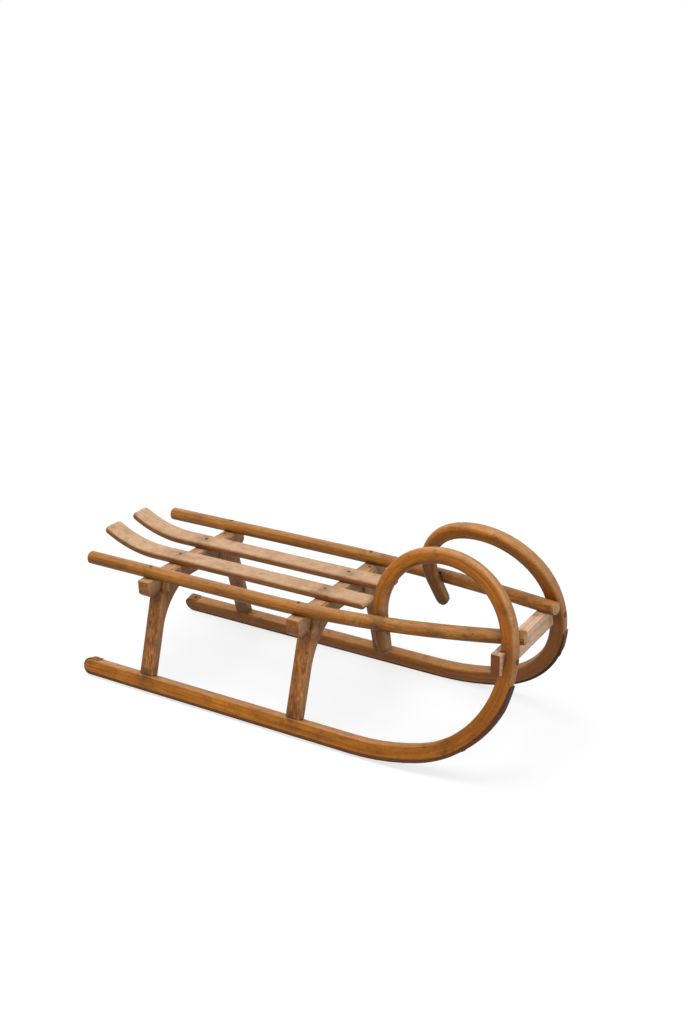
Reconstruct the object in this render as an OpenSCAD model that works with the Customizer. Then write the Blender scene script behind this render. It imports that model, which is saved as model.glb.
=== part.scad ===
// Horn sled of bent ash on two bridges.
// Millimetres, +X forwards to the horns, +Y to the rider's left, +Z up, floor at Z = 0.
// Lengths along X are taken from the rear tip of the runners.

/* [Runners] */
// Straight sole of a runner, from its rear tip to the first bend
sole_len = 574; // [480:1:620]
// Half the track, between the middle lines of the soles, at the sled's half length
half_track = 155; // [140:0.5:175]
// Inward lean of a runner's plane, going up
lean = 16; // [10:0.5:18]
// Toe-in of a runner's plane, going forwards
toe = 0.3; // [0:0.1:1]
// Width of a runner across its plane
run_w = 21.5; // [18:0.5:25]
// Thickness of a runner in its plane
run_t = 25.5; // [18:0.5:28]
// Rounding of a runner's long edges
run_edge = 4; // [2:0.5:4]
// Slow rise to the nose, radius of the middle line
rise_r = 426; // [350:1:500]
// Nose bend, radius of the middle line
nose_r = 184.5; // [170:0.5:200]
// Crown bend of the horn, radius of the middle line
crown_r = 127; // [115:1:140]
// Curl of the horn's tail, radius of the middle line
curl_r = 95; // [85:1:105]
// Straight end of the horn's tail
tail_len = 42; // [30:1:55]

/* [Shoes] */
// Width of the steel strip
shoe_w = 18; // [14:0.5:18]
// Thickness of the steel strip
shoe_t = 3.5; // [2:0.5:5]
// Part of the nose bend that the strip covers
shoe_turn = 64; // [55:1:80]
// Strip turned over onto the top of the rear tip
strap_len = 16; // [12:1:40]

/* [Bridges] */
// Middle of the rear bridge
rear_x = 144; // [110:1:170]
// Middle of the mid bridge
mid_x = 459; // [430:1:480]
// Post, size along the sled
post_x = 28; // [25:1:30]
// Post, width across at its foot
post_w = 16.5; // [14:0.5:20]
// Post, width across at its head
post_head = 48; // [36:1:52]
// Middle of a post's head, ahead of the middle of its bolster
post_set = 4; // [3:0.5:6]
// Head of a post, ahead of its foot
post_fore = 5.5; // [0:0.5:8]
// Radius of the knee that widens the post to its head
knee_r = 105; // [90:5:130]
// Upright edge of the head above the knee
post_lip = 4; // [2:1:8]
// Bolster, size along the sled
bolster_x = 24; // [20:1:26]
// Bolster, height
bolster_h = 31.5; // [24:0.5:36]
// Bolster, length across the sled
bolster_len = 288; // [270:2:310]
// Top of the bolsters above the floor
seat_z = 213; // [200:1:225]
// Corner taken off under each bolster end
bolster_cut = 7; // [4:1:13]
// Tenons of a post, size along the sled
tenon_x = 12; // [8:1:14]
// Foot tenon, width across
foot_tenon_w = 9; // [6:0.5:10]
// Foot tenon, depth
foot_tenon_h = 10; // [8:1:12]
// Head tenon, width across
head_tenon_w = 20; // [14:1:24]
// Head tenon, depth
head_tenon_h = 14; // [10:1:18]

/* [Seat] */
// Width of a slat
slat_w = 40; // [34:1:48]
// Thickness of a slat
slat_t = 13; // [8:0.5:14]
// Gap between the two slats
slat_gap = 38; // [30:1:50]
// Front end of the slats
slat_front = 545; // [500:1:560]
// Start of the upturned rear ends
slat_bend = 100; // [80:1:110]
// Radius of the upturned ends, at the top face
slat_r = 208; // [180:1:240]
// Turn of the upturned ends
slat_turn = 31; // [20:1:36]
// Rounded corners of the slats
slat_corner = 7; // [3:1:12]

/* [Rails] */
// Diameter of a side rail
rail_d = 23.5; // [20:0.5:25]
// Distance of a rail's middle line from the sled's middle, over the bridges
rail_y = 120; // [114:1:124]
// Rear end of the rails
rail_rear = 4; // [-20:1:20]
// Start of the inward bend of the rails, behind the front of the horns
rail_lead = 452; // [435:1:470]
// Radius of the inward bend
rail_r = 1614; // [1500:1:1700]
// Turn of the inward bend
rail_turn = 16.2; // [14.5:0.1:17]
// Roll of the bend, which lifts the front ends
rail_roll = 11.5; // [5:0.5:14]
// Eased end corners of a rail
rail_ease = 2.5; // [1:0.5:4]
// Depth of the saddles that take a rail
saddle = 2.5; // [0.5:0.5:4]

/* [Front bar] */
// Front face of the bar, behind the front of the horns
bar_back = 18; // [12:1:24]
// Bar, size along the sled
bar_x = 18; // [16:1:28]
// Bar, height
bar_h = 34; // [26:1:45]
// Bar, length across the sled
bar_len = 226; // [210:2:240]
// Front corners taken off the bar's ends
bar_ease = 3; // [1:0.5:5]

/* [Fit] */
// Clearance at tenons, saddles and notches
fit = 0.2; // [0.1:0.05:0.3]

/* [Hidden] */
$fn = 96;

ash = [0.71, 0.50, 0.27];
seat_ash = [0.78, 0.63, 0.44];
steel = [0.20, 0.18, 0.17];

// The rise ends at a slope of 7 in 24, then nose, crown and curl are quarter turns
rise_turn = atan2(7, 24);

// The rise is drawn over-long and cut at the end of the sole, which laps into it with a hair's step
rise_over = 1.1;
lap = 1;
hair = 0.02;

// Heights of a sole's middle line and top over the sole of its shoe, and the lift that a leaning shoe needs
core_s = shoe_t + fit + run_t / 2;
foot_s = core_s + run_t / 2;
lift = shoe_w / 2 * sin(lean);

// Centre of the nose bend in a runner's plane
nose_x = sole_len + (rise_r - nose_r) * sin(rise_turn);
nose_s = rise_r - (rise_r - nose_r) * cos(rise_turn);

// Rails and bar go with the horns
horn_front = nose_x + nose_r + run_t / 2;
rail_bend = horn_front - rail_lead;
bar_front = horn_front - bar_back;

// Pivot of the toe-in, and the sled's middle as the origin
slat_rear = slat_bend - (slat_r + slat_t) * sin(slat_turn);
shoe_r = nose_r + run_t / 2 + fit + shoe_t;
shoe_end = rise_turn + shoe_turn;
shoe_back = (shoe_w / 2 * cos(lean) - (core_s + nose_s - shoe_r * cos(shoe_end)) * sin(lean)) * sin(toe);
shoe_front = nose_x + shoe_r * sin(shoe_end) + shoe_back;
rail_front = rail_bend + (rail_r + rail_d / 2 - rail_ease) * sin(rail_turn);
sled_mid = (slat_rear + max(shoe_front, rail_front)) / 2;

// Heights of the bridges
bolster_z = seat_z - bolster_h;
rail_z = seat_z - saddle + rail_d / 2;

// Rail height and side at its front end, and the top of the bar under it
rail_in = rail_r * (1 - cos(asin((bar_front - bar_x / 2 - rail_bend) / rail_r)));
rail_front_z = rail_z + rail_in * sin(rail_roll);
bar_top = rail_front_z - rail_d / 2 + saddle;

// Height in a runner's plane at a given height over the floor, for a given place across
function plane_s(z, n) = (z - lift - n * sin(lean)) / cos(lean);

// Middle of a post's foot, for the middle of its bolster
function foot_x(x) = x + post_set - post_fore;

// Side of a point of a runner's plane, at the sled's half length
function plane_y(n, s) = half_track + n * cos(lean) - s * sin(lean);

// Round-cornered rectangle of lines and arcs
module rounded_rect(w, h, r) {
    square([w - 2 * r, h], center = true);
    square([w, h - 2 * r], center = true);
    for (x = [-1, 1], y = [-1, 1])
        translate([x * (w / 2 - r), y * (h / 2 - r)])
            circle(r);
}

// Puts children, drawn from the rear tip, at the sled's origin
module on_sled() {
    translate([-sled_mid, 0, 0])
        children();
}

// Puts children into the leaning plane of the left runner
module in_plane() {
    translate([sled_mid, half_track, lift])
        rotate([0, 0, -toe])
            rotate([lean, 0, 0])
                translate([-sled_mid, 0, 0])
                    children();
}

// Mirrors children to the right side
module on_right() {
    mirror([0, 1, 0])
        children();
}

// Straight length of a bar along X, the child is its section
module straight(length) {
    rotate([90, 0, 90])
        linear_extrude(length)
            children();
}

// Bend of a bar round the origin, from a heading upwards of X, the child is its section
module bend(radius, turn, heading = 0) {
    rotate([90, 90, 0])
        rotate_extrude(angle = turn, start = heading)
            translate([radius, 0])
                rotate(90)
                    mirror([1, 0])
                        children();
}

// Puts children, drawn round the centre of the nose bend, at the end of a sole
module at_nose() {
    translate([nose_x, 0, nose_s])
        rotate([0, -rise_turn, 0])
            children();
}

// Puts children, drawn from the end of a sole, round the centre of the nose bend
module from_sole() {
    translate([0, 0, rise_r - nose_r])
        rotate([0, rise_turn, 0])
            translate([0, 0, -rise_r])
                children();
}

// Slow rise between sole and nose, the child is its section
module rise_bend() {
    difference() {
        translate([0, 0, rise_r - nose_r])
            bend(rise_r, rise_turn * rise_over, -rise_turn * rise_over)
                children();
        from_sole()
            translate([-run_w * 2, -run_w, -run_w * 2])
                cube([run_w * 2, run_w * 2, run_w * 4]);
    }
}

// Section of a runner, widened all round by a gap
module runner_section(gap = 0) {
    rounded_rect(run_w + 2 * gap, run_t + 2 * gap, run_edge + gap);
}

// Half of a runner's section, widened by a gap and turned into a round end
module round_end(gap = 0) {
    radius = run_t / 2 + gap;
    side = run_w / 2 + gap;
    edge = run_edge + gap;
    rotate([90, 90, 0])
        rotate_extrude(angle = 180) {
            translate([0, -side])
                square([radius - edge, 2 * side]);
            translate([0, edge - side])
                square([radius, 2 * (side - edge)]);
            for (y = [-1, 1])
                translate([radius - edge, y * (side - edge)])
                    circle(edge);
        }
}

// Runner and horn, steamed and bent from one bar
module runner() {
    difference() {
        in_plane()
            translate([0, 0, core_s])
                at_nose() {
                    from_sole()
                        translate([run_t / 2 - sole_len, 0, 0]) {
                            rotate([0, 0, 180])
                                round_end(-hair);
                            straight(sole_len - run_t / 2 + lap)
                                runner_section(-hair);
                        }
                    rise_bend()
                        runner_section();
                    horn()
                        runner_section();
                    at_tail()
                        translate([tail_len, 0, 0])
                            round_end();
                }
        for (x = [rear_x, mid_x])
            in_plane()
                foot_tenon(foot_x(x), fit);
    }
}

// Puts children, drawn along X, at the end of the curl
module at_tail() {
    translate([nose_r - crown_r - curl_r, 0, crown_r - curl_r])
        rotate([0, 90, 0])
            children();
}

// Nose, crown and curl of the horn as quarter turns, then its tail, the child is their section
module horn() {
    bend(nose_r, 90)
        children();
    translate([nose_r - crown_r, 0, 0])
        bend(crown_r, 90, 90)
            children();
    translate([nose_r - crown_r, 0, crown_r - curl_r])
        bend(curl_r, 90, 180)
            children();
    at_tail()
        straight(tail_len)
            children();
}

// Tenon at the foot of a post, or its mortise with a gap
module foot_tenon(x, gap = 0) {
    translate([x - tenon_x / 2 - gap, -foot_tenon_w / 2 - gap, foot_s - foot_tenon_h - gap])
        cube([tenon_x + 2 * gap, foot_tenon_w + 2 * gap, foot_tenon_h + 2 * gap + 0.5]);
}

// Section of a shoe under the section of its runner, widened all round by a gap
module shoe_section(gap = 0) {
    translate([0, -run_t / 2 - fit - shoe_t / 2])
        square([shoe_w + 2 * gap, shoe_t + 2 * gap], center = true);
}

// Steel strip under a runner, turned over its rear tip
module shoe() {
    in_plane()
        translate([0, 0, core_s])
            at_nose() {
                from_sole()
                    translate([run_t / 2 - sole_len, 0, 0]) {
                        straight(sole_len - run_t / 2 + lap)
                            shoe_section(-hair);
                        rotate([0, 0, 180])
                            rotate([90, 90, 0])
                                rotate_extrude(angle = 180)
                                    rotate(90)
                                        shoe_section(-hair);
                        straight(strap_len)
                            mirror([0, 1])
                                shoe_section(-hair);
                    }
                rise_bend()
                    shoe_section();
                bend(nose_r, shoe_turn)
                    shoe_section();
            }
}

// Upright outline of a post across the sled, with the knee under its head, over-long at both ends
module post_outline() {
    out_n = post_w / 2;
    in_n = out_n - post_head;
    top_s = plane_s(seat_z, in_n) + post_w;
    knee_s = plane_s(bolster_z, in_n) - post_lip - sqrt(pow(knee_r, 2) - pow(knee_r - (post_head - post_w), 2));
    difference() {
        polygon([[-out_n, foot_s - post_x], [out_n, foot_s - post_x], [out_n, top_s],
                 [in_n, top_s], [in_n, knee_s], [-out_n, knee_s]]);
        translate([-out_n - knee_r, knee_s])
            circle(knee_r, $fn = 180);
    }
}

// Post between a runner and a bolster, leaning forwards, tenoned into both and lapped over the bolster's front
module post(x) {
    fore_turn = atan(post_fore / (plane_s(bolster_z, 0) - foot_s));
    depth = half_track + post_head;
    difference() {
        in_plane()
            translate([foot_x(x), 0, foot_s])
                rotate([0, fore_turn, 0])
                    translate([-post_x / 2, 0, -foot_s])
                        straight(post_x)
                            post_outline();
        in_plane()
            translate([foot_x(x) - post_x, -post_head, foot_s - 2 * post_x])
                cube([2 * post_x, 2 * post_head, 2 * post_x]);
        translate([x - 2 * post_x, 0, bolster_z])
            cube([2 * post_x + bolster_x / 2 + fit, depth, 2 * bolster_h]);
        translate([x - post_x, 0, seat_z])
            cube([3 * post_x, depth, bolster_h]);
    }
    in_plane()
        foot_tenon(foot_x(x));
    head_tenon(x);
}

// Tenon at the head of a post, or its mortise with a gap
module head_tenon(x, gap = 0) {
    n = (post_w - post_head) / 2;
    y = plane_y(n, plane_s(bolster_z, n)) - (x - sled_mid) * tan(toe);
    translate([x - tenon_x / 2 - gap, y - head_tenon_w / 2 - gap, bolster_z - 0.5])
        cube([tenon_x + 2 * gap, head_tenon_w + 2 * gap, head_tenon_h + gap + 0.5]);
}

// Cross-beam of a bridge, with mortises for two posts and saddles for two rails
module bolster(x) {
    difference() {
        translate([x - bolster_x / 2, 0, 0])
            straight(bolster_x)
                polygon([[-bolster_len / 2, seat_z], [-bolster_len / 2, bolster_z + bolster_cut],
                         [-bolster_len / 2 + bolster_cut, bolster_z], [bolster_len / 2 - bolster_cut, bolster_z],
                         [bolster_len / 2, bolster_z + bolster_cut], [bolster_len / 2, seat_z]]);
        head_tenon(x, fit);
        rail_bar(fit);
        on_right() {
            head_tenon(x, fit);
            rail_bar(fit);
        }
    }
}

// Slat with its rear end bent up
module slat() {
    translate([slat_bend, slat_gap / 2 + slat_w / 2, seat_z]) {
        linear_extrude(slat_t)
            slat_plan(slat_front - slat_bend);
        intersection() {
            translate([0, slat_w / 2, slat_r + slat_t])
                rotate([90, 0, 0])
                    rotate_extrude(angle = slat_turn, start = 270 - slat_turn)
                        translate([slat_r, 0])
                            square([slat_t, slat_w]);
            rotate([0, 0, 180])
                linear_extrude(slat_r)
                    slat_plan((slat_r + slat_t) * sin(slat_turn));
        }
    }
}

// Plan of one end of a slat, with rounded corners
module slat_plan(length) {
    translate([0, -slat_w / 2])
        square([length - slat_corner, slat_w]);
    translate([0, slat_corner - slat_w / 2])
        square([length, slat_w - 2 * slat_corner]);
    for (y = [-1, 1])
        translate([length - slat_corner, y * (slat_w / 2 - slat_corner)])
            circle(slat_corner);
}

// Puts children, drawn along X, on the line of the left rail, with the bend upwards
module on_rail() {
    translate([0, rail_y, rail_z])
        rotate([90 - rail_roll, 0, 0])
            children();
}

// Round rail bent inwards at the front, widened all round by a gap
module rail_bar(gap = 0) {
    on_rail() {
        translate([rail_rear, 0, 0])
            straight(rail_bend - rail_rear)
                circle(rail_d / 2 + gap);
        translate([rail_bend, 0, rail_r])
            bend(rail_r, rail_turn)
                circle(rail_d / 2 + gap);
    }
}

// Corner taken off round the end of a rail
module rail_end_cut() {
    rotate([0, 90, 0])
        rotate_extrude()
            polygon([[rail_d / 2 - rail_ease, -0.1], [rail_d, -0.1], [rail_d, rail_ease + rail_d / 2],
                     [rail_d / 2 + 0.1, rail_ease + 0.1]]);
}

// Housings that let the tail and the front of a horn into its rail
module rail_housings() {
    nose_up = asin((plane_s(rail_front_z, -run_w / 2) - core_s - nose_s) / nose_r);
    in_plane()
        translate([0, 0, core_s]) {
            at_nose()
                at_tail()
                    translate([-run_t, -run_w, -run_t / 2 - fit])
                        cube([run_t + tail_len, run_w * 1.5 + fit, run_t + 2 * fit]);
            translate([nose_x, 0, nose_s])
                rotate([0, -nose_up, 0])
                    translate([nose_r - run_t / 2 - fit, -run_w / 2 - fit, -rail_d])
                        cube([run_t + 2 * fit, run_w, rail_d * 2]);
        }
}

// Side rail, housed where it lies against the horn's tail and front
module rail() {
    difference() {
        rail_bar();
        on_rail() {
            translate([rail_rear, 0, 0])
                rail_end_cut();
            translate([rail_bend, 0, rail_r])
                rotate([0, -rail_turn, 0])
                    translate([0, 0, -rail_r])
                        rotate([0, 0, 180])
                            rail_end_cut();
        }
        rail_housings();
    }
}

// Bar behind the horns, notched over them, with saddles for the rails
module bar() {
    difference() {
        translate([bar_front - bar_x, 0, bar_top - bar_h])
            linear_extrude(bar_h)
                polygon([[0, -bar_len / 2], [bar_x - bar_ease, -bar_len / 2], [bar_x, bar_ease - bar_len / 2],
                         [bar_x, bar_len / 2 - bar_ease], [bar_x - bar_ease, bar_len / 2], [0, bar_len / 2]]);
        horn_space();
        rail_bar(fit);
        on_right() {
            horn_space();
            rail_bar(fit);
        }
    }
}

// Space taken by a horn
module horn_space() {
    in_plane()
        translate([0, 0, core_s])
            at_nose()
                horn()
                    square([run_w + 2 * fit, run_t + 2 * fit], center = true);
}

module runner_left() color(ash) on_sled() runner();
module runner_right() color(ash) on_sled() on_right() runner();
module shoe_left() color(steel) on_sled() shoe();
module shoe_right() color(steel) on_sled() on_right() shoe();
module post_rear_left() color(ash) on_sled() post(rear_x);
module post_rear_right() color(ash) on_sled() on_right() post(rear_x);
module post_mid_left() color(ash) on_sled() post(mid_x);
module post_mid_right() color(ash) on_sled() on_right() post(mid_x);
module bolster_rear() color(ash) on_sled() bolster(rear_x);
module bolster_mid() color(ash) on_sled() bolster(mid_x);
module slat_left() color(seat_ash) on_sled() slat();
module slat_right() color(seat_ash) on_sled() on_right() slat();
module rail_left() color(ash) on_sled() rail();
module rail_right() color(ash) on_sled() on_right() rail();
module front_bar() color(ash) on_sled() bar();

runner_left();
runner_right();
shoe_left();
shoe_right();
post_rear_left();
post_rear_right();
post_mid_left();
post_mid_right();
bolster_rear();
bolster_mid();
slat_left();
slat_right();
rail_left();
rail_right();
front_bar();
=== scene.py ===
# %% [markdown]
# # An old horn sled of bent ash
#
# The sled stands on two runners. Each one is a single steamed bar that runs along the snow,
# rises over a nose and curls back into a horn for the hands. Posts, cross-beams, slats, rails
# and a front bar make the seat. This lesson dresses the measured solids of that sled: it
# bends the runners again so that their grain follows the bend, eases the sawn edges, adds
# the nails, screws and bolts, and gives every piece an aged finish.

# %% Load the measured solids
import math

import bmesh
import bpy
from mathutils import Matrix, Vector


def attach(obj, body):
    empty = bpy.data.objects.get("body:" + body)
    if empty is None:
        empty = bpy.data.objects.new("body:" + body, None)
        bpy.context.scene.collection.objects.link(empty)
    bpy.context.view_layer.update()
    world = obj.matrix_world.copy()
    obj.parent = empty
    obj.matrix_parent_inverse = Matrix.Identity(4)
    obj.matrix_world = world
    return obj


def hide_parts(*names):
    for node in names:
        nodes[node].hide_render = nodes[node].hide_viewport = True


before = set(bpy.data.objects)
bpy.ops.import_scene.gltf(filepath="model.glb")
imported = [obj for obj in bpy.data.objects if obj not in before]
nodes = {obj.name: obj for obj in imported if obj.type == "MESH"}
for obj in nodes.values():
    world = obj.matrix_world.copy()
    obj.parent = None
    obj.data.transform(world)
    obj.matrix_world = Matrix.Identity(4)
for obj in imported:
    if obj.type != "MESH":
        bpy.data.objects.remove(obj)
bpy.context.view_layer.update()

# %% [markdown]
# ## The camera
#
# The viewpoint was worked out from the outline of the sled: a camera at chest height, ahead
# of the horns and to the right of the sled. Its three axes make up the columns of a matrix,
# which is easier to follow than three angles when the picture is also a little tilted.

# %% Camera
IMAGE_WIDTH = 688
FOCAL_PIXELS = 1317.65
EYE = Vector((1.1539, -1.7352, 1.1784))
azimuth, elevation, roll = (math.radians(angle) for angle in (32.18, 21.86, -1.62))
back = Vector((math.sin(azimuth) * math.cos(elevation),
               -math.cos(azimuth) * math.cos(elevation),
               math.sin(elevation)))
right = Vector((0, 0, 1)).cross(back).normalized()
up = back.cross(right)
tilted_right = right * math.cos(roll) + up * math.sin(roll)
tilted_up = up * math.cos(roll) - right * math.sin(roll)
camera_data = bpy.data.cameras.new("camera")
camera_data.sensor_fit = "HORIZONTAL"
camera_data.sensor_width = 36
camera_data.lens = FOCAL_PIXELS * camera_data.sensor_width / IMAGE_WIDTH
camera_data.clip_end = 60
camera = bpy.data.objects.new("camera", camera_data)
bpy.context.collection.objects.link(camera)
camera.matrix_world = (Matrix.Translation(EYE)
                       @ Matrix((tilted_right, tilted_up, back)).transposed().to_4x4())
bpy.context.scene.camera = camera
print("lens in mm:", round(camera_data.lens, 2))

# %% [markdown]
# ## Helpers for shader nodes
#
# A node tree is quicker to read when one call adds a node, sets it and links it. The first
# helper takes a value or another node's socket for every input, by its name or its number.
# The others wrap the few kinds of nodes that the finishes use again and again.

# %% Node helpers
def add(tree, kind, inputs=None, **settings):
    made = tree.nodes.new("ShaderNode" + kind)
    for name, value in settings.items():
        setattr(made, name, value)
    for name, value in (inputs or {}).items():
        if isinstance(value, bpy.types.NodeSocket):
            tree.links.new(value, made.inputs[name])
        else:
            made.inputs[name].default_value = value
    return made


def shade(red, green, blue):
    # A colour as it is read off a screen, turned into the linear values that a shader needs
    def linear(value):
        value /= 255
        return value / 12.92 if value <= 0.04045 else ((value + 0.055) / 1.055) ** 2.4
    return (linear(red), linear(green), linear(blue), 1)


def blend_colours(tree, factor, first, second):
    # A Mix node has sockets of one name for each type of data, so colours go by number
    return add(tree, "Mix", {0: factor, 6: first, 7: second}, data_type="RGBA").outputs[2]


def remap(tree, value, low, high, to_low=0.0, to_high=1.0):
    mapped = add(tree, "MapRange", {"Value": value, "From Min": low, "From Max": high,
                                    "To Min": to_low, "To Max": to_high})
    return mapped.outputs[0]


def spread(tree, mask, to_low, to_high):
    return remap(tree, mask, 0, 1, to_low, to_high)


def math_node(tree, operation, first, second):
    made = add(tree, "Math", {0: first, 1: second}, operation=operation, use_clamp=True)
    return made.outputs[0]


def cosine(tree, normal, direction):
    made = add(tree, "VectorMath", {0: normal, 1: direction}, operation="DOT_PRODUCT")
    return made.outputs["Value"]


def noise(tree, place, scale, detail, roughness=0.5, distortion=0.0):
    made = add(tree, "TexNoise", {"Vector": place, "Scale": scale, "Detail": detail,
                                  "Roughness": roughness, "Distortion": distortion})
    return made.outputs[0]


print("helpers ready")

# %% [markdown]
# ## Grain of ash
#
# Ash has long bands of pale early wood and darker late wood, with short dark pores along
# them. All of that is noise that is stretched along the grain. The group expects a vector
# whose X runs along the grain in metres, so that the same group serves a straight beam and a
# bent runner.

# %% Group: ash grain
def new_group(name, inputs, outputs):
    group = bpy.data.node_groups.new(name, "ShaderNodeTree")
    for in_out, sockets in (("INPUT", inputs), ("OUTPUT", outputs)):
        for socket, kind in sockets:
            group.interface.new_socket(name=socket, in_out=in_out,
                                       socket_type="NodeSocket" + kind)
    return group, group.nodes.new("NodeGroupInput"), group.nodes.new("NodeGroupOutput")


grain, grain_in, grain_out = new_group(
    "ash grain", [("Vector", "Vector")],
    [("Bands", "Float"), ("Pores", "Float"), ("Blotches", "Float")])
# Each figure: how often it changes in a metre, along and across the grain, its detail, and
# the part of the noise that is spread from 0 to 1
FIGURES = (("Bands", (6, 300, 300), 5.0, 0.30, 0.70),
           ("Pores", (55, 1500, 1500), 1.0, 0.56, 0.70),
           ("Blotches", (16, 44, 44), 5.0, 0.32, 0.68))
for output, often, detail, low, high in FIGURES:
    stretched = add(grain, "VectorMath", {0: grain_in.outputs["Vector"], 1: often},
                    operation="MULTIPLY").outputs[0]
    figure = noise(grain, stretched, 1.0, detail, roughness=0.55, distortion=0.25)
    grain.links.new(remap(grain, figure, low, high), grain_out.inputs[output])
print("group:", grain.name)

# %% [markdown]
# ## Rubbed varnish, dirt and painted light
#
# Where hands, seats and snow touch the sled, the varnish is gone and the wood is pale and grey
# along the eased edges. The faces that look up and a little forwards are made pale as well:
# partly rubbed varnish, partly a painted sheen of the light from above and ahead. The faces that
# look down are darkened as painted shade, and patches of noise add dirt. Both masks start from
# the direction of the surface, broken up by noise.

# %% Group: wear and painted light
UPWARDS = (0, 0, 1)
WORN_AND_LIT_SIDE = (0.62, 0, 0.785)
wear_and_light, wear_and_light_in, wear_and_light_out = new_group(
    "wear and painted light", [("Vector", "Vector"), ("Edge", "Float"), ("Amount", "Float")],
    [("Bare and sheen", "Float"), ("Dirt and shade", "Float"), ("Specks", "Float")])
wear_place = wear_and_light_in.outputs["Vector"]
normal = add(wear_and_light, "NewGeometry").outputs["Normal"]
patches = noise(wear_and_light, wear_place, 34.0, 5.0, roughness=0.62)
scuffs = noise(wear_and_light, wear_place, 95.0, 4.0)
flecks = noise(wear_and_light, wear_place, 310.0, 1.0)
# Faces that look up and a little forwards turn pale: partly rubbed varnish, partly a painted
# sheen of the light from above and ahead
on_top = remap(wear_and_light, cosine(wear_and_light, normal, WORN_AND_LIT_SIDE), 0.25, 0.85)
rubbed_and_sheen = math_node(wear_and_light, "MULTIPLY", on_top, remap(wear_and_light, patches, 0.28, 0.62, 0.4, 1.0))
rubbed_and_sheen = math_node(wear_and_light, "MULTIPLY", rubbed_and_sheen, wear_and_light_in.outputs["Amount"])
chafed = math_node(wear_and_light, "MULTIPLY", wear_and_light_in.outputs["Edge"],
                   remap(wear_and_light, scuffs, 0.38, 0.70, 0.0, 0.35))
wear_and_light.links.new(math_node(wear_and_light, "MAXIMUM", rubbed_and_sheen, chafed), wear_and_light_out.inputs["Bare and sheen"])
# Faces that look down are darkened as painted shade; the noise spots add real dirt
painted_under_shade = remap(wear_and_light, cosine(wear_and_light, normal, UPWARDS), 0.05, -0.8)
spots = remap(wear_and_light, patches, 0.54, 0.74)
wear_and_light.links.new(math_node(wear_and_light, "MAXIMUM", painted_under_shade, spots), wear_and_light_out.inputs["Dirt and shade"])
wear_and_light.links.new(remap(wear_and_light, flecks, 0.66, 0.78), wear_and_light_out.inputs["Specks"])
print("group:", wear_and_light.name)

# %% [markdown]
# ## Grime and painted shade at the joints
#
# Water and dirt sit longest where two pieces meet, and shade gathers there too, so the wood is
# darkest there: partly grime, partly painted contact shade. The group takes a place in the sled
# and measures how far the nearest joint is. Both sides are alike, which is why the sideways
# coordinate loses its sign first. A little noise frays the stain.

# %% Group: joint grime and painted shade
# Each joint: its place on the left side, and how far its stain and painted shade reach, in metres
JOINTS = ((-0.270, 0.150, 0.032, 0.030), (0.045, 0.148, 0.032, 0.030),
          (-0.262, 0.104, 0.184, 0.040), (0.053, 0.103, 0.184, 0.040),
          (-0.269, 0.120, 0.211, 0.020), (0.046, 0.119, 0.211, 0.020),
          (-0.269, 0.039, 0.214, 0.030), (0.046, 0.039, 0.214, 0.030),
          (0.190, 0.100, 0.226, 0.034), (0.399, 0.094, 0.215, 0.036),
          (-0.407, 0.152, 0.020, 0.024))
DARKEST_PART = 0.2
joint_grime_and_shade, joint_grime_and_shade_in, joint_grime_and_shade_out = new_group("joint grime and shade", [("Vector", "Vector")],
                                       [("Stain and shade", "Float")])
own = add(joint_grime_and_shade, "SeparateXYZ", {"Vector": joint_grime_and_shade_in.outputs["Vector"]})
one_side = add(joint_grime_and_shade, "VectorMath", {0: joint_grime_and_shade_in.outputs["Vector"]}, operation="ABSOLUTE")
sideways = add(joint_grime_and_shade, "SeparateXYZ", {"Vector": one_side.outputs[0]})
folded = add(joint_grime_and_shade, "CombineXYZ", {"X": own.outputs[0], "Y": sideways.outputs[1],
                                   "Z": own.outputs[2]}).outputs[0]
fray = noise(joint_grime_and_shade, joint_grime_and_shade_in.outputs["Vector"], 75.0, 4.0)
stain_and_shade = None
for *joint_at, reach in JOINTS:
    gap = add(joint_grime_and_shade, "VectorMath", {0: folded, 1: joint_at}, operation="DISTANCE")
    near = remap(joint_grime_and_shade, gap.outputs["Value"], reach, reach * DARKEST_PART)
    stain_and_shade = near if stain_and_shade is None else math_node(joint_grime_and_shade, "MAXIMUM", stain_and_shade, near)
stain_and_shade = math_node(joint_grime_and_shade, "MULTIPLY", stain_and_shade, remap(joint_grime_and_shade, fray, 0.30, 0.62))
joint_grime_and_shade.links.new(stain_and_shade, joint_grime_and_shade_out.inputs["Stain and shade"])
print("group:", joint_grime_and_shade.name, "joints:", len(JOINTS))

# %% [markdown]
# ## Wood finishes
#
# One recipe makes every wood of the sled. It takes where the grain runs, the colours of the
# varnished wood, of the pale bare wood, which also serves as a painted sheen on the faces that
# look up, and of the dark wood, which serves for dirt and for painted shade, and how much the
# upper faces are paled by rubbed varnish and painted sheen. A straight piece reads its Object
# coordinates, turned so that X follows the grain. A bent bar carries its own coordinates,
# measured along the bar before it was bent. Two things are left out of most finishes: steam
# darkens a runner in its bends, and dirt and painted shade darken its tail, and end grain has a
# colour of its own on the faces that look along the grain.

# %% Wood recipe
TURNS = {"X": (0, 0, 0), "Y": (0, 0, math.radians(-90)), "Z": (0, math.radians(90), 0)}
# Along a runner, in metres: where steam has darkened it, is less seen, and dirt with painted
# shade takes over
NOSE_SPAN, HORN_SPAN, TAIL_SPAN = (0.5, 0.85), (0.95, 1.15), (1.24, 1.38)


def new_finish(name):
    material = bpy.data.materials.new(name)
    material.use_nodes = True
    return material, material.node_tree, material.node_tree.nodes["Principled BSDF"]


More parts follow.
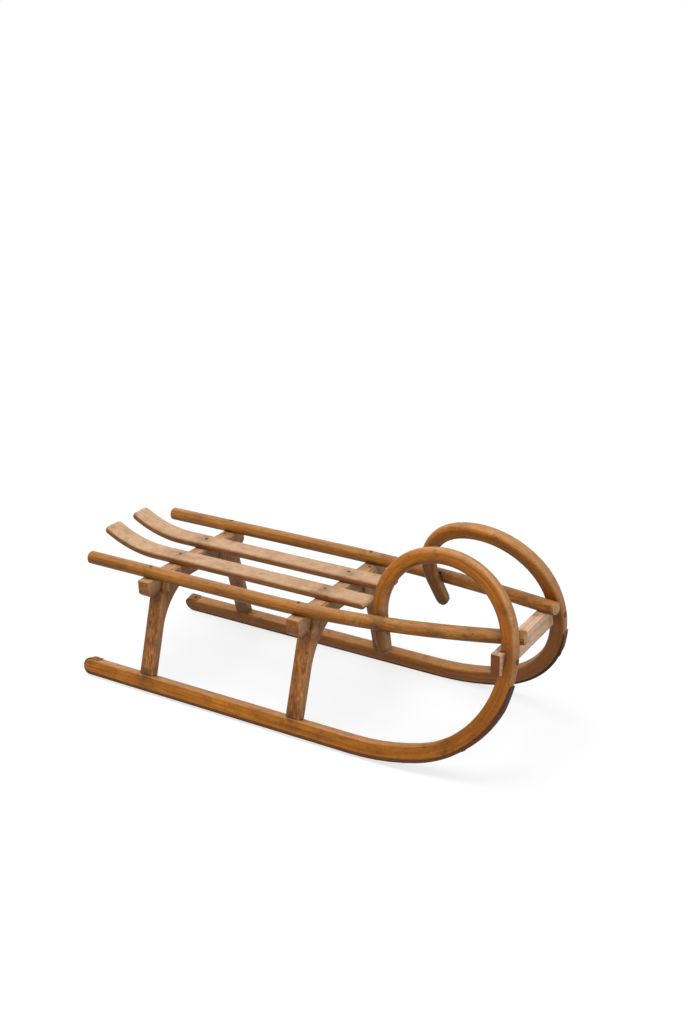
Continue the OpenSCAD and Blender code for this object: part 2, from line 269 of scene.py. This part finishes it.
def wood(name, runs, late, early, bare_and_sheen, dirt_and_shade, rubbed_and_sheen, steamed=0.0, ends=(), end_colour=None):
    material, tree, shader = new_finish(name)
    sled_place = add(tree, "TexCoord").outputs["Object"]
    if runs == "bar":
        place = add(tree, "Attribute", attribute_name="bar").outputs["Vector"]
    else:
        place = add(tree, "Mapping", {"Vector": sled_place, "Rotation": TURNS[runs]}).outputs[0]
    edge = add(tree, "Attribute", attribute_name="eased")
    figure = add(tree, "Group", node_tree=grain)
    tree.links.new(place, figure.inputs["Vector"])
    worn_and_lit = add(tree, "Group", node_tree=wear_and_light)
    tree.links.new(place, worn_and_lit.inputs["Vector"])
    tree.links.new(edge.outputs["Fac"], worn_and_lit.inputs["Edge"])
    worn_and_lit.inputs["Amount"].default_value = rubbed_and_sheen
    joint = add(tree, "Group", node_tree=joint_grime_and_shade)
    tree.links.new(sled_place, joint.inputs["Vector"])

    colour = blend_colours(tree, figure.outputs["Bands"], late, early)
    colour = blend_colours(tree, spread(tree, figure.outputs["Blotches"], 0.0, 0.6), colour, late)
    if steamed:
        along = add(tree, "SeparateXYZ", {"Vector": place}).outputs[0]
        darker = math_node(tree, "MULTIPLY", remap(tree, along, *NOSE_SPAN, 0.0, steamed),
                           remap(tree, along, *HORN_SPAN, 1.0, 0.3))
        colour = blend_colours(tree, darker, colour, late)
        # The tail is darkened as dirt, and as painted shade where it runs under the rail
        tail_dirt_and_shade = remap(tree, along, *TAIL_SPAN, 0.0, steamed)
        colour = blend_colours(tree, tail_dirt_and_shade, colour, dirt_and_shade)
    # Pale wood: rubbed varnish on the eased edges, and rubbed varnish with a painted sheen on the
    # upper faces
    colour = blend_colours(tree, worn_and_lit.outputs["Bare and sheen"], colour, bare_and_sheen)
    for direction in ends:
        square = cosine(tree, add(tree, "NewGeometry").outputs["Normal"], direction)
        colour = blend_colours(tree, remap(tree, square, 0.7, 0.9), colour, end_colour)
    # The dark colour marks pores, specks and dirt, and also paints shade on the faces that look
    # down and at the joints
    for mask, strength in ((figure.outputs["Pores"], 0.45), (worn_and_lit.outputs["Dirt and shade"], 0.6),
                           (worn_and_lit.outputs["Specks"], 0.6), (joint.outputs["Stain and shade"], 0.75)):
        colour = blend_colours(tree, spread(tree, mask, 0.0, strength), colour, dirt_and_shade)
    tree.links.new(colour, shader.inputs["Base Color"])

    rough = spread(tree, worn_and_lit.outputs["Bare and sheen"], 0.45, 0.75)
    tree.links.new(rough, shader.inputs["Roughness"])
    relief = math_node(tree, "SUBTRACT", spread(tree, figure.outputs["Bands"], 0.5, 0.9),
                       spread(tree, figure.outputs["Pores"], 0.0, 0.5))
    bump = add(tree, "Bump", {"Height": relief, "Strength": 0.4, "Distance": 0.0007})
    tree.links.new(bump.outputs[0], shader.inputs["Normal"])
    shader.inputs["Specular IOR Level"].default_value = 0.17
    shader.inputs["Coat Weight"].default_value = 0.04
    shader.inputs["Coat Roughness"].default_value = 0.3
    print("finish:", name)
    return material


# %% Woods of the sled
LATE = shade(124, 68, 13)
EARLY = shade(206, 129, 36)
BARE_AND_SHEEN = shade(204, 160, 114)
DIRT_AND_SHADE = shade(50, 27, 11)
post_finish = wood("honey_post_wood", "Z", shade(104, 60, 24), shade(206, 136, 70),
                   BARE_AND_SHEEN, DIRT_AND_SHADE, 0.5)
bolster_finish = wood("honey_bolster_wood", "Y", shade(104, 59, 21), shade(180, 115, 54),
                      shade(200, 162, 124), DIRT_AND_SHADE, 0.85)
runner_finish = wood("honey_runner_wood", "bar", LATE, EARLY, BARE_AND_SHEEN, DIRT_AND_SHADE, 0.55, steamed=0.65)
rail_finish = wood("rubbed_rail_wood", "X", shade(112, 64, 15), shade(186, 120, 40),
                   shade(188, 146, 100), DIRT_AND_SHADE, 0.34,
                   ends=[(1, 0, 0)], end_colour=shade(172, 136, 98))
seat_finish = wood("worn_seat_wood", "bar", shade(104, 60, 22), shade(164, 106, 52),
                   shade(204, 169, 134), shade(62, 38, 22), 0.9)
bar_finish = wood("worn_bar_wood", "Y", shade(184, 138, 104), shade(238, 198, 166),
                  shade(232, 204, 180), shade(66, 42, 28), 0.25,
                  ends=[(0, 1, 0), (0, -1, 0)], end_colour=shade(124, 68, 26))

# %% [markdown]
# ## Steel
#
# The shoes and the fasteners are plain steel that has gone dark, with brown rust in patches.
# The rust is rougher and no longer metallic, so one noise drives colour, roughness and metal
# together. Faces that look up never slide on snow, and they have rusted all over; they also get a
# lighter brown, which is painted top light.

# %% Steel recipe
PIT = shade(22, 15, 11)


def steel(name, clean, rust, painted_top_light, rust_from, rust_full):
    material, tree, shader = new_finish(name)
    place = add(tree, "TexCoord").outputs["Object"]
    patches = noise(tree, place, 60.0, 6.0, roughness=0.65)
    pits = noise(tree, place, 900.0, 2.0)
    upwards = cosine(tree, add(tree, "NewGeometry").outputs["Normal"], UPWARDS)
    on_top = remap(tree, upwards, 0.2, 0.8)
    rusted = math_node(tree, "MAXIMUM", remap(tree, patches, rust_from, rust_full), on_top)
    colour = blend_colours(tree, rusted, clean, rust)
    # Faces that look up get a lighter brown: painted top light over the rust
    colour = blend_colours(tree, on_top, colour, painted_top_light)
    colour = blend_colours(tree, remap(tree, patches, 0.48, 0.72, 0.0, 0.6), colour, rust)
    colour = blend_colours(tree, remap(tree, pits, 0.5, 0.8, 0.0, 0.5), colour, PIT)
    tree.links.new(colour, shader.inputs["Base Color"])
    tree.links.new(spread(tree, rusted, 0.38, 0.8), shader.inputs["Roughness"])
    tree.links.new(spread(tree, rusted, 0.9, 0.0), shader.inputs["Metallic"])
    bump = add(tree, "Bump", {"Height": pits, "Strength": 0.4, "Distance": 0.0003})
    tree.links.new(bump.outputs[0], shader.inputs["Normal"])
    shader.inputs["Specular IOR Level"].default_value = 0.25
    print("finish:", name)
    return material


shoe_finish = steel("dark_shoe_steel", shade(54, 38, 28), shade(66, 36, 16),
                    shade(150, 95, 50), 0.30, 0.46)
nail_finish = steel("nail_steel", shade(88, 68, 54), shade(96, 58, 30),
                    shade(98, 64, 38), 0.42, 0.58)

# %% [markdown]
# ## Solids that only need a finish
#
# The rails already have their true shape, so they keep it and only get a material.

# %% Finish the rails
SIDES = ((1, "left"), (-1, "right"))
for _, word in SIDES:
    slots = nodes["rail_" + word].data.materials
    slots.clear()
    slots.append(rail_finish)
print("rails finished:", len(SIDES))

# %% [markdown]
# ## Eased edges
#
# The sawn pieces have sharp edges in the solids, but a used sled has none. A copy of a solid
# is merged, its flat triangles are joined, and every sharp edge is bevelled. The bevel's
# faces are marked, so that the finish can rub the varnish off them.

# %% Ease the sawn pieces
SMOOTH_BELOW, FLAT_BELOW, SHARP_ABOVE = (math.radians(angle) for angle in (38, 0.6, 40))
POST_EASE, BOLSTER_EASE, BAR_EASE = 0.0016, 0.0024, 0.0028


def finish_piece(name, bm, material, stands_for=()):
    mesh = bpy.data.meshes.new(name)
    bm.to_mesh(mesh)
    bm.free()
    mesh.polygons.foreach_set("use_smooth", [True] * len(mesh.polygons))
    mesh.set_sharp_from_angle(angle=SMOOTH_BELOW)
    mesh.materials.append(material)
    piece = bpy.data.objects.new(name, mesh)
    bpy.context.collection.objects.link(piece)
    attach(piece, "root")
    if stands_for:
        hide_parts(*stands_for)
    print(name, "faces:", len(mesh.polygons))


def eased(node, width, material):
    bm = bmesh.new()
    bm.from_mesh(nodes[node].data)
    bmesh.ops.remove_doubles(bm, verts=bm.verts, dist=1e-5)
    bmesh.ops.dissolve_limit(bm, angle_limit=FLAT_BELOW, verts=bm.verts, edges=bm.edges)
    mark = bm.faces.layers.float.new("eased")
    sharp = [e for e in bm.edges
             if len(e.link_faces) == 2 and e.calc_face_angle(0) > SHARP_ABOVE]
    made = bmesh.ops.bevel(bm, geom=sharp, offset=width, segments=3, profile=0.5,
                           affect="EDGES", material=-1, clamp_overlap=True)
    for face in made["faces"]:
        face[mark] = 1.0
    finish_piece(node + "_eased", bm, material, [node])


for _, word in SIDES:
    for bridge in ("rear", "mid"):
        eased("post_" + bridge + "_" + word, POST_EASE, post_finish)
for bridge in ("rear", "mid"):
    eased("bolster_" + bridge, BOLSTER_EASE, bolster_finish)
eased("front_bar", BAR_EASE, bar_finish)

# %% [markdown]
# ## Bent bars
#
# Runners, shoes and slats are straight bars that were bent round a form. They are made the
# same way here: a rounded section is pushed along in steps, straight or round the centre
# of a bend. Every ring of the section remembers how far along the bar it lies, so that the
# grain bends with the wood. A bar lies in its own plane, in millimetres: X runs ahead, Y
# across and Z up, and its heading is the angle at which it climbs.

# %% Push a ring on
QUARTER = math.pi / 2
PER_METRE = 1000
to_metres = Matrix.Scale(1 / PER_METRE, 4)


def on_arc(centre, radius, heading):
    return Vector((centre.x + radius * math.sin(heading), 0,
                   centre.z - radius * math.cos(heading)))


def ring_frame(centre, heading):
    return Matrix.Translation(centre) @ Matrix.Rotation(-heading, 4, "Y")


def push(bar, ahead):
    new = bmesh.ops.extrude_edge_only(bar["bm"], edges=bar["rim"])["geom"]
    verts = [g for g in new if isinstance(g, bmesh.types.BMVert)]
    fresh = set(verts)
    bar["rim"] = [g for g in new
                  if isinstance(g, bmesh.types.BMEdge) and fresh.issuperset(g.verts)]
    bar["along"] += ahead / PER_METRE
    for v in verts:
        v[bar["mark"]] = Vector((bar["along"], v[bar["mark"]].y, v[bar["mark"]].z))
    return verts


# %% [markdown]
# The section starts as a rectangle with bevelled corners. Further along, it can get rounder
# and thinner: scaling the points of a corner about the sharp corner makes its rounding
# larger, and scaling the whole ring about its middle makes the bar thinner. A bar is flattened
# from one face only: the ring is scaled about the face that looks into the bend.

# %% Start and shape a bar
def start_bar(width, thick, edge, start, shift):
    bm = bmesh.new()
    mark = bm.verts.layers.float_vector.new("bar")
    bar = {"bm": bm, "mark": mark, "width": width, "thick": thick, "size": 1.0, "heading": 0.0,
           "at": start.copy(), "along": start.x / PER_METRE, "shift": shift}
    corners = bmesh.ops.create_grid(bm, x_segments=1, y_segments=1, size=0.5)["verts"]
    bmesh.ops.scale(bm, vec=(width, thick, 1), verts=corners)
    bmesh.ops.bevel(bm, geom=corners, offset=edge, segments=6, profile=0.5,
                    affect="VERTICES", material=-1)
    upright = Matrix(((0, 0, 1, 0), (1, 0, 0, 0), (0, 1, 0, 0), (0, 0, 0, 1)))
    bmesh.ops.transform(bm, matrix=upright, verts=bm.verts)
    for v in bm.verts:
        v[mark] = Vector((bar["along"], v.co.y / PER_METRE + shift, v.co.z / PER_METRE))
    bmesh.ops.translate(bm, vec=start, verts=bm.verts)
    bmesh.ops.delete(bm, geom=bm.faces[:], context="FACES_ONLY")
    bar["rim"] = bm.edges[:]
    return bar


def shape_ring(bar, verts, rounder, thinner):
    at_ring = ring_frame(bar["at"], bar["heading"])
    half_w, half_t = bar["size"] * bar["width"] / 2, bar["size"] * bar["thick"] / 2
    for y_sign in (-1, 1):
        for z_sign in (-1, 1):
            corner = [v for v in verts if (v[bar["mark"]].y - bar["shift"]) * y_sign > 0
                      and v[bar["mark"]].z * z_sign > 0]
            sharp = at_ring @ Matrix.Translation((0, y_sign * half_w, z_sign * half_t))
            bmesh.ops.scale(bar["bm"], vec=(1, rounder, rounder), space=sharp.inverted(),
                            verts=corner)
    bmesh.ops.scale(bar["bm"], vec=(1, thinner, thinner), space=at_ring.inverted(), verts=verts)
    bar["size"] *= thinner


def flatten(bar, verts, flatter):
    inside = (ring_frame(bar["at"], bar["heading"])
              @ Matrix.Translation((0, 0, bar["thick"] / 2)))
    bmesh.ops.scale(bar["bm"], vec=(1, 1, flatter), space=inside.inverted(), verts=verts)


# %% [markdown]
# A straight or a bend takes the change of the section over its whole length and shares it
# out over its steps. An end is rounded off by a few rings that shrink like a quarter circle
# before the last one is filled.

# %% Straights, bends and ends
END_STEPS = (0.35, 0.65, 0.88, 0.99)


def go_straight(bar, length, steps, thinner=1.0, flatter=1.0):
    ahead = Vector((math.cos(bar["heading"]), 0, math.sin(bar["heading"]))) * length / steps
    for _ in range(steps):
        verts = push(bar, length / steps)
        bmesh.ops.translate(bar["bm"], vec=ahead, verts=verts)
        bar["at"] += ahead
        shape_ring(bar, verts, 1.0, thinner ** (1 / steps))
        flatten(bar, verts, flatter ** (1 / steps))


def go_round(bar, radius, turn, steps, rounder=1.0, thinner=1.0, flatter=1.0):
    centre = on_arc(bar["at"], radius, bar["heading"] + 2 * QUARTER)
    one_step = Matrix.Rotation(-turn / steps, 3, "Y")
    for _ in range(steps):
        verts = push(bar, radius * turn / steps)
        bmesh.ops.rotate(bar["bm"], cent=centre, matrix=one_step, verts=verts)
        bar["heading"] += turn / steps
        bar["at"] = on_arc(centre, radius, bar["heading"])
        shape_ring(bar, verts, rounder ** (1 / steps), thinner ** (1 / steps))
        flatten(bar, verts, flatter ** (1 / steps))


def round_off(bar, sign, narrowing):
    at_end = ring_frame(bar["at"], bar["heading"])
    radius = bar["size"] * bar["thick"] / 2
    reach = 0.0
    height = width = 1.0
    for step in END_STEPS:
        angle = step * QUARTER
        ahead = radius * math.sin(angle) - reach
        verts = push(bar, sign * ahead)
        squeeze = math.cos(angle) / height
        narrow = (1 - narrowing * (1 - math.cos(angle))) / width
        shrink = (Matrix.Translation((sign * ahead, 0, 0))
                  @ Matrix.Diagonal((1, narrow, squeeze, 1)))
        bmesh.ops.transform(bar["bm"], matrix=at_end @ shrink @ at_end.inverted(), verts=verts)
        reach += ahead
        height *= squeeze
        width *= narrow
    bmesh.ops.contextual_create(bar["bm"], geom=bar["rim"])


def finish_bar(bar, place, name, material, node):
    bmesh.ops.transform(bar["bm"], matrix=place, verts=bar["bm"].verts)
    bmesh.ops.recalc_face_normals(bar["bm"], faces=bar["bm"].faces)
    finish_piece(name, bar["bm"], material, [node])


# %% [markdown]
# ## The runners
#
# A runner goes along the sole, then round the slow rise, the nose, the crown and the curl,
# and out along the tail. On its way up the horn it gets rounder and thinner, as the maker's
# spokeshave left it. Its plane leans in over the sled and toes in a little. The right runner
# is the left one's mirror image, but its grain starts elsewhere in the noise.

# %% Sizes of a runner, in millimetres
RUN_W, RUN_T, RUN_EDGE = 21.5, 25.5, 4.0
SOLE, RISE_R, NOSE_R, CROWN_R, CURL_R, TAIL = 574.0, 426.0, 184.5, 127.0, 95.0, 42.0
SHOE_T, SHOE_W, SHOE_EDGE, FIT = 3.5, 18.0, 0.7, 0.2
RISE = math.atan2(7, 24)
CORE = SHOE_T + FIT + RUN_T / 2
SLED_MID, HALF_TRACK = 412.96, 155.0
LEAN, TOE = math.radians(16), math.radians(0.3)
left_plane = (to_metres
              @ Matrix.Translation((0, HALF_TRACK, SHOE_W / 2 * math.sin(LEAN)))
              @ Matrix.Rotation(-TOE, 4, "Z") @ Matrix.Rotation(LEAN, 4, "X")
              @ Matrix.Translation((-SLED_MID, 0, 0)))
plane = {1: left_plane, -1: Matrix.Scale(-1, 4, (0, 1, 0)) @ left_plane}
nose_at = on_arc(Vector((SOLE, 0, CORE + RISE_R)), RISE_R - NOSE_R, RISE)
print("nose centre in its plane:", [round(c, 1) for c in nose_at])

# %% Bend the runners
RUNNER_GRAIN, TAIL_SPARE = 0.3, 1
for side, word in SIDES:
    bar = start_bar(RUN_W, RUN_T, RUN_EDGE, Vector((RUN_T / 2, 0, CORE)), side * RUNNER_GRAIN)
    rear, rear_at, rear_along = bar["rim"], bar["at"].copy(), bar["along"]
    go_straight(bar, SOLE - RUN_T / 2, steps=14)
    go_round(bar, RISE_R, RISE, steps=5)
    go_round(bar, NOSE_R, QUARTER, steps=20, rounder=1.5)
    go_round(bar, CROWN_R, QUARTER, steps=18, rounder=1.5, thinner=1.04)
    go_round(bar, CURL_R, QUARTER, steps=14, rounder=1.05, thinner=0.95)
    go_straight(bar, TAIL + TAIL_SPARE, steps=2, thinner=0.95)
    round_off(bar, 1, narrowing=0.5)
    bar.update(rim=rear, at=rear_at, heading=0.0, size=1.0, along=rear_along)
    round_off(bar, -1, narrowing=0.0)
    finish_bar(bar, plane[side], "bent_runner_" + word, runner_finish,
               "runner_" + word)

# %% [markdown]
# ## The shoes
#
# A shoe is a strip of steel under a runner. It starts on top of the rear end, goes round that
# end, follows the sole and climbs most of the nose. The smith hammered both of its ends flat
# from the outside, so that they lie close to the wood and catch on nothing.

# %% Bend the shoes
STRAP, SHOE_TURN = 16.0, math.radians(64)
STRAP_END, STRAP_GROWS = 0.25, 1.5
TIP_PART, TIP_END = 0.2, 0.3
under = RUN_T / 2 + FIT + SHOE_T / 2
for side, word in SIDES:
    strap_at = Vector((RUN_T / 2 + STRAP, 0, CORE + under))
    bar = start_bar(SHOE_W, SHOE_T, SHOE_EDGE, strap_at, 0.0)
    bar["heading"] = math.pi
    start = bar["rim"]
    flatten(bar, bar["bm"].verts[:], STRAP_END)
    go_straight(bar, STRAP, steps=4, flatter=STRAP_GROWS)
    go_round(bar, under, math.pi, steps=16, flatter=1 / (STRAP_END * STRAP_GROWS))
    go_straight(bar, SOLE - RUN_T / 2, steps=14)
    go_round(bar, RISE_R + under, RISE, steps=5)
    go_round(bar, NOSE_R + under, SHOE_TURN * (1 - TIP_PART), steps=14)
    go_round(bar, NOSE_R + under, SHOE_TURN * TIP_PART, steps=6, flatter=TIP_END)
    for rim in (start, bar["rim"]):
        bmesh.ops.contextual_create(bar["bm"], geom=rim)
    finish_bar(bar, plane[side], "bent_shoe_" + word, shoe_finish,
               "shoe_" + word)

# %% [markdown]
# ## The slats
#
# A slat is a flat bar that starts at its front end, runs back over both beams and bends up
# behind the rider. Seats have worn its long edges round. It is pushed along as if it ran
# ahead, and is then turned end for end.

# %% Bend the slats
SLAT_W, SLAT_T, SLAT_EDGE = 40.0, 13.0, 4.8
SLAT_FRONT, SLAT_BEND, SLAT_R, SLAT_TURN = 545.0, 100.0, 208.0, math.radians(31)
SLAT_Y, SEAT_Z = 39.0, 213.0
SLAT_GRAIN = 0.2
for side, word in SIDES:
    bar = start_bar(SLAT_W, SLAT_T, SLAT_EDGE, Vector((SLAT_T / 2, 0, 0)), side * SLAT_GRAIN)
    front, front_at, front_along = bar["rim"], bar["at"].copy(), bar["along"]
    go_straight(bar, SLAT_FRONT - SLAT_BEND - SLAT_T / 2, steps=12)
    radius = SLAT_R + SLAT_T / 2
    go_round(bar, radius, SLAT_TURN - SLAT_T / 4 / radius, steps=12)
    round_off(bar, 1, narrowing=0.4)
    bar.update(rim=front, at=front_at, heading=0.0, along=front_along)
    round_off(bar, -1, narrowing=0.04)
    seat = (to_metres
            @ Matrix.Translation((SLAT_FRONT - SLED_MID, side * SLAT_Y, SEAT_Z + SLAT_T / 2))
            @ Matrix.Rotation(math.pi, 4, "Z"))
    finish_bar(bar, seat, "bent_slat_" + word, seat_finish, "slat_" + word)

# %% [markdown]
# ## Nails, screws and bolts
#
# Small steel heads hold the sled together. A nail is a flattened dome, a screw is a low
# bevelled disc with a slot sunk into it, and a bolt is a thicker dome. Each head is made
# lying flat, and is then turned so that it stands on the surface that it holds.

# %% Heads
def stand_on(spot, facing):
    turned = Vector(facing).to_track_quat("Z", "Y").to_matrix().to_4x4()
    return Matrix.Translation(spot) @ turned


def cut_across(bm, verts, place, normal, **clear):
    geom = list({g for v in verts for g in (v, *v.link_edges, *v.link_faces)})
    cut = bmesh.ops.bisect_plane(bm, geom=geom, plane_co=place, plane_no=normal, **clear)
    left = list({v for g in cut["geom"] for v in (g.verts if hasattr(g, "verts") else [g])})
    return left, [g for g in cut["geom_cut"] if isinstance(g, bmesh.types.BMEdge)]


def dome(bm, spot, facing, radius, height):
    ball = bmesh.ops.create_uvsphere(bm, u_segments=16, v_segments=9, radius=radius)["verts"]
    verts, rim = cut_across(bm, ball, (0, 0, 0), (0, 0, -1), clear_outer=True)
    bmesh.ops.contextual_create(bm, geom=rim)
    bmesh.ops.scale(bm, vec=(1, 1, height / radius), verts=verts)
    bmesh.ops.transform(bm, matrix=stand_on(spot, facing), verts=verts)


# Parts of a screw head's radius: its top, half of the slot's width, and the slot's slope
HEAD_TOP, HALF_SLOT, SLOT_SLOPE = 0.78, 0.14, 0.02
# Part of its height that the slot is sunk by
SLOT_DEPTH = 0.45


def slotted(bm, spot, facing, radius, height, turn):
    verts = bmesh.ops.create_cone(bm, cap_ends=True, segments=20, radius1=radius,
                                  radius2=radius * HEAD_TOP, depth=height)["verts"]
    for level in (-1, 1):
        verts, _ = cut_across(bm, verts, (0, level * radius * HALF_SLOT, 0), (0, 1, 0))
    slot = [f for f in {f for v in verts for f in v.link_faces}
            if f.normal.z > 0.9 and abs(f.calc_center_median().y) < radius * 0.05]
    sunk = bmesh.ops.inset_region(bm, faces=slot, thickness=radius * SLOT_SLOPE,
                                  depth=-height * SLOT_DEPTH)["faces"]
    verts = list(set(verts) | {v for f in sunk + slot for v in f.verts})
    lift = Matrix.Translation((0, 0, height / 2)) @ Matrix.Rotation(turn, 4, "Z")
    bmesh.ops.transform(bm, matrix=stand_on(spot, facing) @ lift, verts=verts)


print("heads ready")

# %% [markdown]
# The places come from the sled itself: the slats are nailed over the beams, the rails are
# screwed down on the beams and to the tails of the horns, and a bolt goes through each horn
# into the front bar. The shoes are screwed on from below and at both of their ends. Places
# are in millimetres, and the radius and height of a head are in metres. Each head is sunk by
# a hair, so that no gap shows under it. A screw's last value is the angle at which its slot
# came to rest.

# %% Places on the seat
REAR_X, MID_X, HORN_TAIL_X = 144.0, 459.0, 604
RAIL_Y, RAIL_Z, RAIL_D = 120.0, 222.25, 23.5
RAIL_BEND, RAIL_R, RAIL_ROLL = 386.87, 1614.0, math.radians(11.5)
SLAT_NAIL, BEAM_NAIL = (0.0036, 0.0013), (0.003, 0.0011)
RAIL_SCREW, TAIL_SCREW = (0.0038, 0.0012), (0.0045, 0.0016)
NAIL_OFF, BEAM_NAIL_OFF, TAIL_SCREW_DROP = 1.5, 62, 1
NAIL_SUNK, RAIL_SCREW_SUNK, TAIL_SCREW_SUNK = 0.2, 0.8, 0.9


def sled(x, y, z):
    return Vector(((x - SLED_MID) / PER_METRE, y / PER_METRE, z / PER_METRE))


def rail_line(x):
    inward = RAIL_R - math.sqrt(RAIL_R ** 2 - max(0, x - RAIL_BEND) ** 2)
    return RAIL_Y - inward * math.cos(RAIL_ROLL), RAIL_Z + inward * math.sin(RAIL_ROLL)


nails = bmesh.new()
screws = bmesh.new()
for side, _ in SIDES:
    for x, shift in ((REAR_X, 2), (MID_X, -3)):
        on_slat = sled(x + shift, side * (SLAT_Y + NAIL_OFF * side), SEAT_Z + SLAT_T - NAIL_SUNK)
        dome(nails, on_slat, UPWARDS, *SLAT_NAIL)
        on_beam = sled(x - shift, side * (SLAT_Y + BEAM_NAIL_OFF), SEAT_Z - NAIL_SUNK)
        dome(nails, on_beam, UPWARDS, *BEAM_NAIL)
        y, z = rail_line(x)
        on_rail = sled(x + shift, side * y, z + RAIL_D / 2 - RAIL_SCREW_SUNK)
        slotted(screws, on_rail, UPWARDS, *RAIL_SCREW, 0.6 + x * side)
    y, z = rail_line(HORN_TAIL_X)
    at_tail = sled(HORN_TAIL_X, side * (y + RAIL_D / 2 - TAIL_SCREW_SUNK), z - TAIL_SCREW_DROP)
    slotted(screws, at_tail, (0, side, 0), *TAIL_SCREW, 0.9)
print("seat heads placed")

# %% Places on the runners
BOLT_HEADING = math.radians(1.6)
BOLT_SUNK, SHOE_SCREW_SUNK, STRAP_LEFT = 0.1, 0.3, 0.27
SOLE_SCREWS, STRAP_SCREW_X = (70, 235, 395, 545), 21
NOSE_SCREWS = (math.radians(40), math.radians(64))
BOLT, SOLE_SCREW = (0.0048, 0.0022), (0.0038, 0.001)
STRAP_SCREW, NOSE_SCREW = (0.0036, 0.0008), (0.0042, 0.0012)


def on_runner(side, x, z):
    return plane[side] @ Vector((x, 0, z))


def away(side, x, z):
    return (plane[side].to_3x3() @ Vector((x, 0, z))).normalized()


bolts = bmesh.new()
for side, _ in SIDES:
    ahead, rise = math.cos(BOLT_HEADING), math.sin(BOLT_HEADING)
    reach = NOSE_R + RUN_T / 2 - BOLT_SUNK
    dome(bolts, on_runner(side, nose_at.x + reach * ahead, nose_at.z + reach * rise),
         away(side, ahead, rise), *BOLT)
    for x in SOLE_SCREWS:
        slotted(screws, on_runner(side, x, SHOE_SCREW_SUNK), away(side, 0, -1),
                *SOLE_SCREW, 0.4 * x)
    strap_top = CORE + RUN_T / 2 + FIT + SHOE_T * STRAP_LEFT
    slotted(screws, on_runner(side, STRAP_SCREW_X, strap_top), away(side, 0, 1),
            *STRAP_SCREW, 0.8)
    for heading in NOSE_SCREWS:
        shoe_face = NOSE_R + RUN_T / 2 + FIT + SHOE_T
        outside = on_arc(nose_at, shoe_face - SHOE_SCREW_SUNK, heading)
        slotted(screws, on_runner(side, outside.x, outside.z),
                away(side, math.sin(heading), -math.cos(heading)), *NOSE_SCREW, heading * 3)
for name, bm in (("seat_nails", nails), ("wood_screws", screws), ("horn_bolts", bolts)):
    bmesh.ops.recalc_face_normals(bm, faces=bm.faces)
    finish_piece(name, bm, nail_finish)

# %% [markdown]
# ## Floor and light
#
# The sled stands on a plain white floor under a soft sky. The floor catches a light shadow
# round the runners and fades into the same white as the sky behind it, so that no horizon
# shows. One large lamp above and weaker ones from the right and the front shape
# the round wood, and a last one behind keeps the back of the sled out of the dark.

# %% Floor
FLOOR_RADIUS = 9
FADE_FROM, FADE_DONE, FADE_START = 0.30, 1.1, 0.7
FLOOR_AS_LIT, FLOOR_AS_SEEN = 0.45, 0.95
WHITE = (1, 1, 1, 1)


def sees_background(tree):
    # The rays of the camera, and those that steel mirrors or glass lets through
    rays = add(tree, "LightPath").outputs
    plain = math_node(tree, "MAXIMUM", rays["Is Camera Ray"], rays["Is Glossy Ray"])
    return math_node(tree, "MAXIMUM", plain, rays["Is Transmission Ray"])


floor_bm = bmesh.new()
bmesh.ops.create_circle(floor_bm, cap_ends=True, segments=96, radius=FLOOR_RADIUS)
floor_mesh = bpy.data.meshes.new("floor")
floor_bm.to_mesh(floor_mesh)
floor_bm.free()
floor = bpy.data.objects.new("floor", floor_mesh)
bpy.context.collection.objects.link(floor)
paint = bpy.data.materials.new("white_floor")
paint.use_nodes = True
tree = paint.node_tree
tree.nodes.clear()
spot = add(tree, "TexCoord").outputs["Object"]
far = add(tree, "VectorMath", {0: spot}, operation="LENGTH").outputs["Value"]
fade = remap(tree, far, FADE_FROM, FADE_DONE, FADE_START, 1.0)
plain = sees_background(tree)
seen = math_node(tree, "MULTIPLY", fade, plain)
matt = add(tree, "BsdfDiffuse", {"Color": spread(tree, plain, FLOOR_AS_LIT, FLOOR_AS_SEEN)})
white = add(tree, "Emission", {"Color": WHITE, "Strength": 1.0})
both = add(tree, "MixShader", {0: seen, 1: matt.outputs[0], 2: white.outputs[0]})
add(tree, "OutputMaterial", {"Surface": both.outputs[0]})
floor_mesh.materials.append(paint)
print("floor radius in metres:", FLOOR_RADIUS)

# %% Sky and lamps
SKY, SKY_STRENGTH = (0.95, 0.97, 1, 1), 0.42
world = bpy.data.worlds.new("sky")
bpy.context.scene.world = world
world.use_nodes = True
tree = world.node_tree
tree.nodes.clear()
dim = add(tree, "Background", {"Color": SKY, "Strength": SKY_STRENGTH})
bright = add(tree, "Background", {"Color": WHITE, "Strength": 1.0})
both = add(tree, "MixShader", {0: sees_background(tree), 1: dim.outputs[0],
                               2: bright.outputs[0]})
add(tree, "OutputWorld", {"Surface": both.outputs[0]})

# Each lamp: where it hangs, where it points, how wide it is in metres, and its watts
LAMPS = (("overhead", (-0.4, -0.5, 2.6), (0, 0, 0.1), 2.0, 58),
         ("side", (1.2, -2.3, 1.3), (0, 0, 0.15), 1.4, 20),
         ("front", (2.6, -0.6, 0.9), (0.2, 0, 0.2), 1.2, 16),
         ("fill", (-1.8, 1.8, 1.5), (0, 0, 0.15), 1.8, 14))
for name, place, aim, size, power in LAMPS:
    data = bpy.data.lights.new(name, "AREA")
    data.shape = "DISK"
    data.size = size
    data.energy = power
    lamp = bpy.data.objects.new(name, data)
    bpy.context.collection.objects.link(lamp)
    turned = (Vector(aim) - Vector(place)).to_track_quat("-Z", "Y").to_matrix().to_4x4()
    lamp.matrix_world = Matrix.Translation(place) @ turned
    print("lamp:", name, "watts:", power)
bpy.context.scene.view_settings.view_transform = "Standard"
